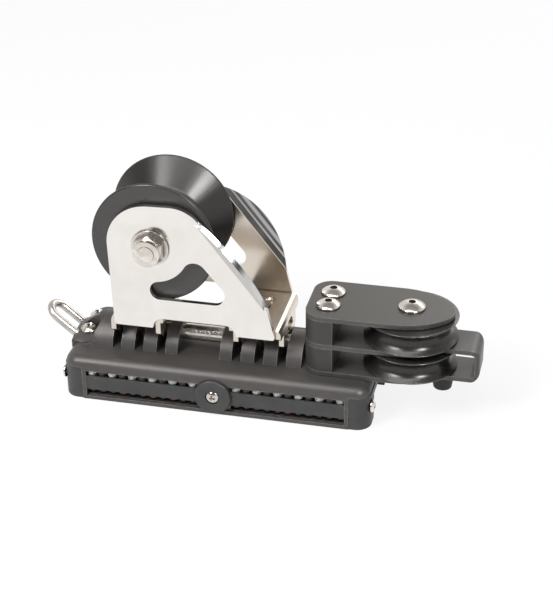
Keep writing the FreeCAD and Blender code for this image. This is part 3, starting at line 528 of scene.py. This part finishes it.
def make_rings():
    """Lathe rings round an axis, by the distance from it and the place along it."""
    axis = [
        ("Centre", "Vector", (0.0, 0.0, 0.0)),
        ("Across", "Vector", (1.0, 0.0, 1.0)),
        ("Along", "Vector", (0.0, 1.0, 0.0)),
        ("Pitch", "Float", 0.0004),
    ]
    group, given, result = effect("turned rings", axis, ["Height"])
    offset = work_out_vector(group, "SUBTRACT", object_place(group), given["Centre"])["Vector"]
    across = work_out_vector(group, "MULTIPLY", offset, given["Across"])["Vector"]
    radius = work_out_vector(group, "LENGTH", across)["Value"]
    along = work_out_vector(group, "DOT_PRODUCT", offset, given["Along"])["Value"]
    heights = []
    for distance in (radius, along):
        turns = work_out(group, "DIVIDE", distance, given["Pitch"])
        values = {"W": turns, "Scale": 1.0, "Detail": 2.0}
        ridges = place(group, "ShaderNodeTexNoise", {"noise_dimensions": "1D"}, values)
        heights.append(ridges.outputs["Fac"])
    group.links.new(work_out(group, "ADD", heights[0], heights[1]), result["Height"])
    return group


rings = make_rings()


def make_turned(name, centre, across, along, roughness):
    """Black anodised turned aluminium: flat side faces a lighter grey than the groove, rims rubbed
    paler.
    """
    material, tree, inputs = surface(name, Metallic=0.6)
    texture = use(tree, grain, {"Grain Size": 0.0003, "Patch Size": 0.02})
    axis = {"Centre": centre, "Across": across, "Along": along, "Pitch": RING_PITCH}
    lathe = use(tree, rings, axis)
    mask = use(tree, worn_or_shaded_edges, {"Reach": 0.0009, "Breakup Size": 0.004})["Mask"]
    facing = work_out_vector(tree, "DOT_PRODUCT", object_normal(tree), along)["Value"]
    flat = spread(tree, work_out(tree, "ABSOLUTE", facing), low=0.90, high=0.98)
    lighter = tuple(channel * SHEAVE_LIFT for channel in SHEAVE_BLACK[:3]) + (1.0,)
    dyed = mix_colours(tree, texture["Patches"], SHEAVE_BLACK, lighter)
    faced = mix_colours(tree, flat, dyed, SHEAVE_FACE)
    tree.links.new(mix_colours(tree, mask, faced, SHEAVE_WORN), inputs["Base Color"])
    drift = between(tree, texture["Patches"], roughness - 0.02, roughness + 0.03)
    tree.links.new(drift, inputs["Roughness"])
    ridges = bump(tree, lathe["Height"], distance=0.000006, strength=0.6)
    tree.links.new(ridges, inputs["Normal"])
    return material


lead_finish = make_turned(
    "turned lead sheave", LEAD_AXLE, LEAD_ACROSS, LEAD_ALONG, LEAD_ROUGHNESS
)
dress(lead_finish, "lead_sheave")
soften(LEAD_EDGE, "lead_sheave")


# Control block plates
# The lower and middle plates are one aluminium strip folded round the becket at the far end;
# the top plate and the two spacers are bolted to it. All are anodised, and the spacers are
# given a darker grey as painted shade.

BLOCK_GREY = (0.078, 0.074, 0.070, 1.0)
BLOCK_ROUGHNESS = 0.40
BLOCK_RUB = 0.0009
PLATE_EDGE = 0.0005
SPACER_SHADED_GREY = (0.054, 0.051, 0.049, 1.0)
SPACER_ROUGHNESS = 0.42
SPACER_RUB = 0.0007
SPACER_EDGE = 0.0003

block_finish = make_anodised("anodised block", BLOCK_GREY, BODY_WORN, BLOCK_ROUGHNESS, BLOCK_RUB)
dress(block_finish, "block_frame", "block_top_plate")
soften(PLATE_EDGE, "block_frame", "block_top_plate")
# Painted shade: the spacers get a darker copy of the block's anodised finish.
shaded_spacer_finish = make_anodised(
    "anodised spacers", SPACER_SHADED_GREY, BODY_WORN, SPACER_ROUGHNESS, SPACER_RUB
)
dress(shaded_spacer_finish, "lower_spacer", "upper_spacer")
soften(SPACER_EDGE, "lower_spacer", "upper_spacer")


# Block screws and control axle
# Two long button-head screws clamp the plates and spacers to the car; a third, larger, is the
# axle of both control sheaves and takes a round nut underneath.

BUTTON_EDGE = 0.0003

dress(hardware, "block_screws", "control_axle", "control_axle_nut")
soften(BUTTON_EDGE, "block_screws", "control_axle", "control_axle_nut")
dress(acetal, "control_sheave_bushes")


# Control sheaves
# Two aluminium sheaves for the control line, turned and hard anodised black. They turn one
# above the other on the same axle, each on a plastic bush.

CONTROL_AXLE = (0.114, 0.0, 0.048)
CONTROL_ACROSS = (1.0, 1.0, 0.0)
CONTROL_ALONG = (0.0, 0.0, 1.0)
CONTROL_ROUGHNESS = 0.27
CONTROL_EDGE = 0.0002

control_finish = make_turned(
    "turned control sheave", CONTROL_AXLE, CONTROL_ACROSS, CONTROL_ALONG, CONTROL_ROUGHNESS
)
dress(control_finish, "upper_control_sheave", "lower_control_sheave")
soften(CONTROL_EDGE, "upper_control_sheave", "lower_control_sheave")


# Keeper foot
# Tapered black rubber foot, moulded in one piece and set under the overhanging plate, which
# it keeps clear of what lies below. Its colours are darker than the other black parts, as
# painted shade under the plate.

RUBBER_IN_SHADE = (0.016, 0.016, 0.017, 1.0)
RUBBER_DUST_IN_SHADE = (0.030, 0.030, 0.030, 1.0)
RUBBER_ROUGHNESS = 0.62
FOOT_EDGE = 0.0006

# Partly painted shade: black rubber, darkened further to stand for the shade under the plate.
foot_rubber_in_shade = make_moulding("foot rubber", RUBBER_IN_SHADE, RUBBER_DUST_IN_SHADE, RUBBER_ROUGHNESS)
dress(foot_rubber_in_shade, "keeper_foot")
soften(FOOT_EDGE, "keeper_foot")


# Studio
# A plain white floor in a room with white walls behind, and dark above and beyond the camera
# for the polished metal to mirror. The key lamp hangs high at the left and a long one
# overhead, a weak one lights the rims from behind, and a small one at the right only gloss.

FLOOR_HALF = 3.0
FLOOR_WHITE = (0.90, 0.90, 0.90, 1.0)
FLOOR_GLOW_SHARE = 0.85
PURE_WHITE = (1.0, 1.0, 1.0, 1.0)
WALL_WHITE = (0.92, 0.90, 0.87, 1.0)
DARK_ROOM = (0.070, 0.072, 0.076, 1.0)
ROOM_LIGHT = 0.32


def seen_directly(tree):
    """1 for the rays that look at the background: from the camera, off gloss or through glass."""
    path = tree.nodes.new("ShaderNodeLightPath").outputs
    either = work_out(tree, "MAXIMUM", path["Is Camera Ray"], path["Is Glossy Ray"])
    return work_out(tree, "MAXIMUM", either, path["Is Transmission Ray"])


def make_floor():
    mesh = bpy.data.meshes.new("studio floor")
    corners = [(-FLOOR_HALF, -FLOOR_HALF, 0), (FLOOR_HALF, -FLOOR_HALF, 0)]
    corners += [(FLOOR_HALF, FLOOR_HALF, 0), (-FLOOR_HALF, FLOOR_HALF, 0)]
    mesh.from_pydata(corners, [], [(0, 1, 2, 3)])
    floor = bpy.data.objects.new("studio_floor", mesh)
    bpy.context.scene.collection.objects.link(floor)
    material = bpy.data.materials.new("studio white")
    material.use_nodes = True
    tree = material.node_tree
    tree.nodes.clear()
    plain = place(tree, "ShaderNodeBsdfDiffuse", None, {"Color": FLOOR_WHITE}).outputs["BSDF"]
    white = {"Color": PURE_WHITE, "Strength": 1.0}
    glow = place(tree, "ShaderNodeEmission", None, white).outputs["Emission"]
    share = work_out(tree, "MULTIPLY", seen_directly(tree), FLOOR_GLOW_SHARE)
    both = place(tree, "ShaderNodeMixShader", None, {0: share, 1: plain, 2: glow})
    place(tree, "ShaderNodeOutputMaterial", None, {"Surface": both.outputs["Shader"]})
    mesh.materials.append(material)


def make_room():
    """Light and dark walls to look at and to mirror, and an even, dimmer light from them all."""
    world = bpy.data.worlds.new("studio room")
    bpy.context.scene.world = world
    world.use_nodes = True
    tree = world.node_tree
    tree.nodes.clear()
    toward = axes_of(tree, tree.nodes.new("ShaderNodeTexCoord").outputs["Generated"])
    front = spread(tree, toward["Y"], low=0.10, high=-0.35)
    high = spread(tree, toward["Z"], low=0.12, high=0.30)
    overhead = spread(tree, toward["Z"], low=0.65, high=0.90, to_low=0.0, to_high=0.7)
    dim = work_out(tree, "MAXIMUM", work_out(tree, "MULTIPLY", front, high), overhead)
    shown = {"Color": mix_colours(tree, dim, WALL_WHITE, DARK_ROOM), "Strength": 1.0}
    looked_at = place(tree, "ShaderNodeBackground", None, shown).outputs["Background"]
    even = {"Color": PURE_WHITE, "Strength": ROOM_LIGHT}
    lighting = place(tree, "ShaderNodeBackground", None, even).outputs["Background"]
    share = seen_directly(tree)
    both = place(tree, "ShaderNodeMixShader", None, {0: share, 1: lighting, 2: looked_at})
    place(tree, "ShaderNodeOutputWorld", None, {"Surface": both.outputs["Shader"]})


def hang_lamp(name, spot, aim_at, width, depth, power):
    lamp = bpy.data.lights.new(name, "AREA")
    lamp.shape = "RECTANGLE"
    lamp.size, lamp.size_y = width, depth
    lamp.energy = power
    holder = bpy.data.objects.new(name, lamp)
    holder.location = spot
    holder.rotation_mode = "QUATERNION"
    holder.rotation_quaternion = (Vector(aim_at) - Vector(spot)).to_track_quat("-Z", "Y")
    bpy.context.scene.collection.objects.link(holder)
    return holder


make_floor()
make_room()
hang_lamp(
    "key lamp",
    spot=(-0.64, -0.90, 1.14),
    aim_at=(0.0, 0.0, 0.05),
    width=0.46,
    depth=0.5,
    power=16.5,
)
hang_lamp(
    "rim lamp",
    spot=(0.45, 1.05, 0.75),
    aim_at=(0.0, 0.0, 0.06),
    width=1.0,
    depth=0.25,
    power=4.0,
)
hang_lamp(
    "long lamp",
    spot=(-0.05, -0.42, 1.2),
    aim_at=(0.0, -0.03, 0.03),
    width=1.4,
    depth=0.22,
    power=8.0,
)
strip = hang_lamp(
    "strip for gloss only",
    spot=(0.78, -0.78, 0.84),
    aim_at=(0.0, 0.0, 0.05),
    width=0.24,
    depth=0.4,
    power=14.0,
)
strip.visible_diffuse = False


# Camera
# Long lens from the front right, 29 degrees above the floor, as in a product photograph.

CAMERA_SPOT = (0.2346, -0.8409, 0.5488)
CAMERA_AZIMUTH = math.radians(13.56)
CAMERA_ELEVATION = math.radians(29.19)
CAMERA_ROLL = math.radians(-0.74)
CAMERA_LENS = 99.88
CAMERA_SENSOR = 36.0


def set_camera():
    ahead = Vector((
        -math.sin(CAMERA_AZIMUTH) * math.cos(CAMERA_ELEVATION),
        math.cos(CAMERA_AZIMUTH) * math.cos(CAMERA_ELEVATION),
        -math.sin(CAMERA_ELEVATION),
    ))
    level = Vector((math.cos(CAMERA_AZIMUTH), math.sin(CAMERA_AZIMUTH), 0.0))
    upward = level.cross(ahead)
    right = math.cos(CAMERA_ROLL) * level + math.sin(CAMERA_ROLL) * upward
    top = -math.sin(CAMERA_ROLL) * level + math.cos(CAMERA_ROLL) * upward
    data = bpy.data.cameras.new("camera")
    data.lens = CAMERA_LENS
    data.sensor_width = CAMERA_SENSOR
    camera = bpy.data.objects.new("camera", data)
    turn = Matrix((right, top, -ahead)).transposed().to_4x4()
    camera.matrix_world = Matrix.Translation(CAMERA_SPOT) @ turn
    bpy.context.scene.collection.objects.link(camera)
    bpy.context.scene.camera = camera


set_camera()
bpy.context.scene.view_settings.view_transform = "Standard"
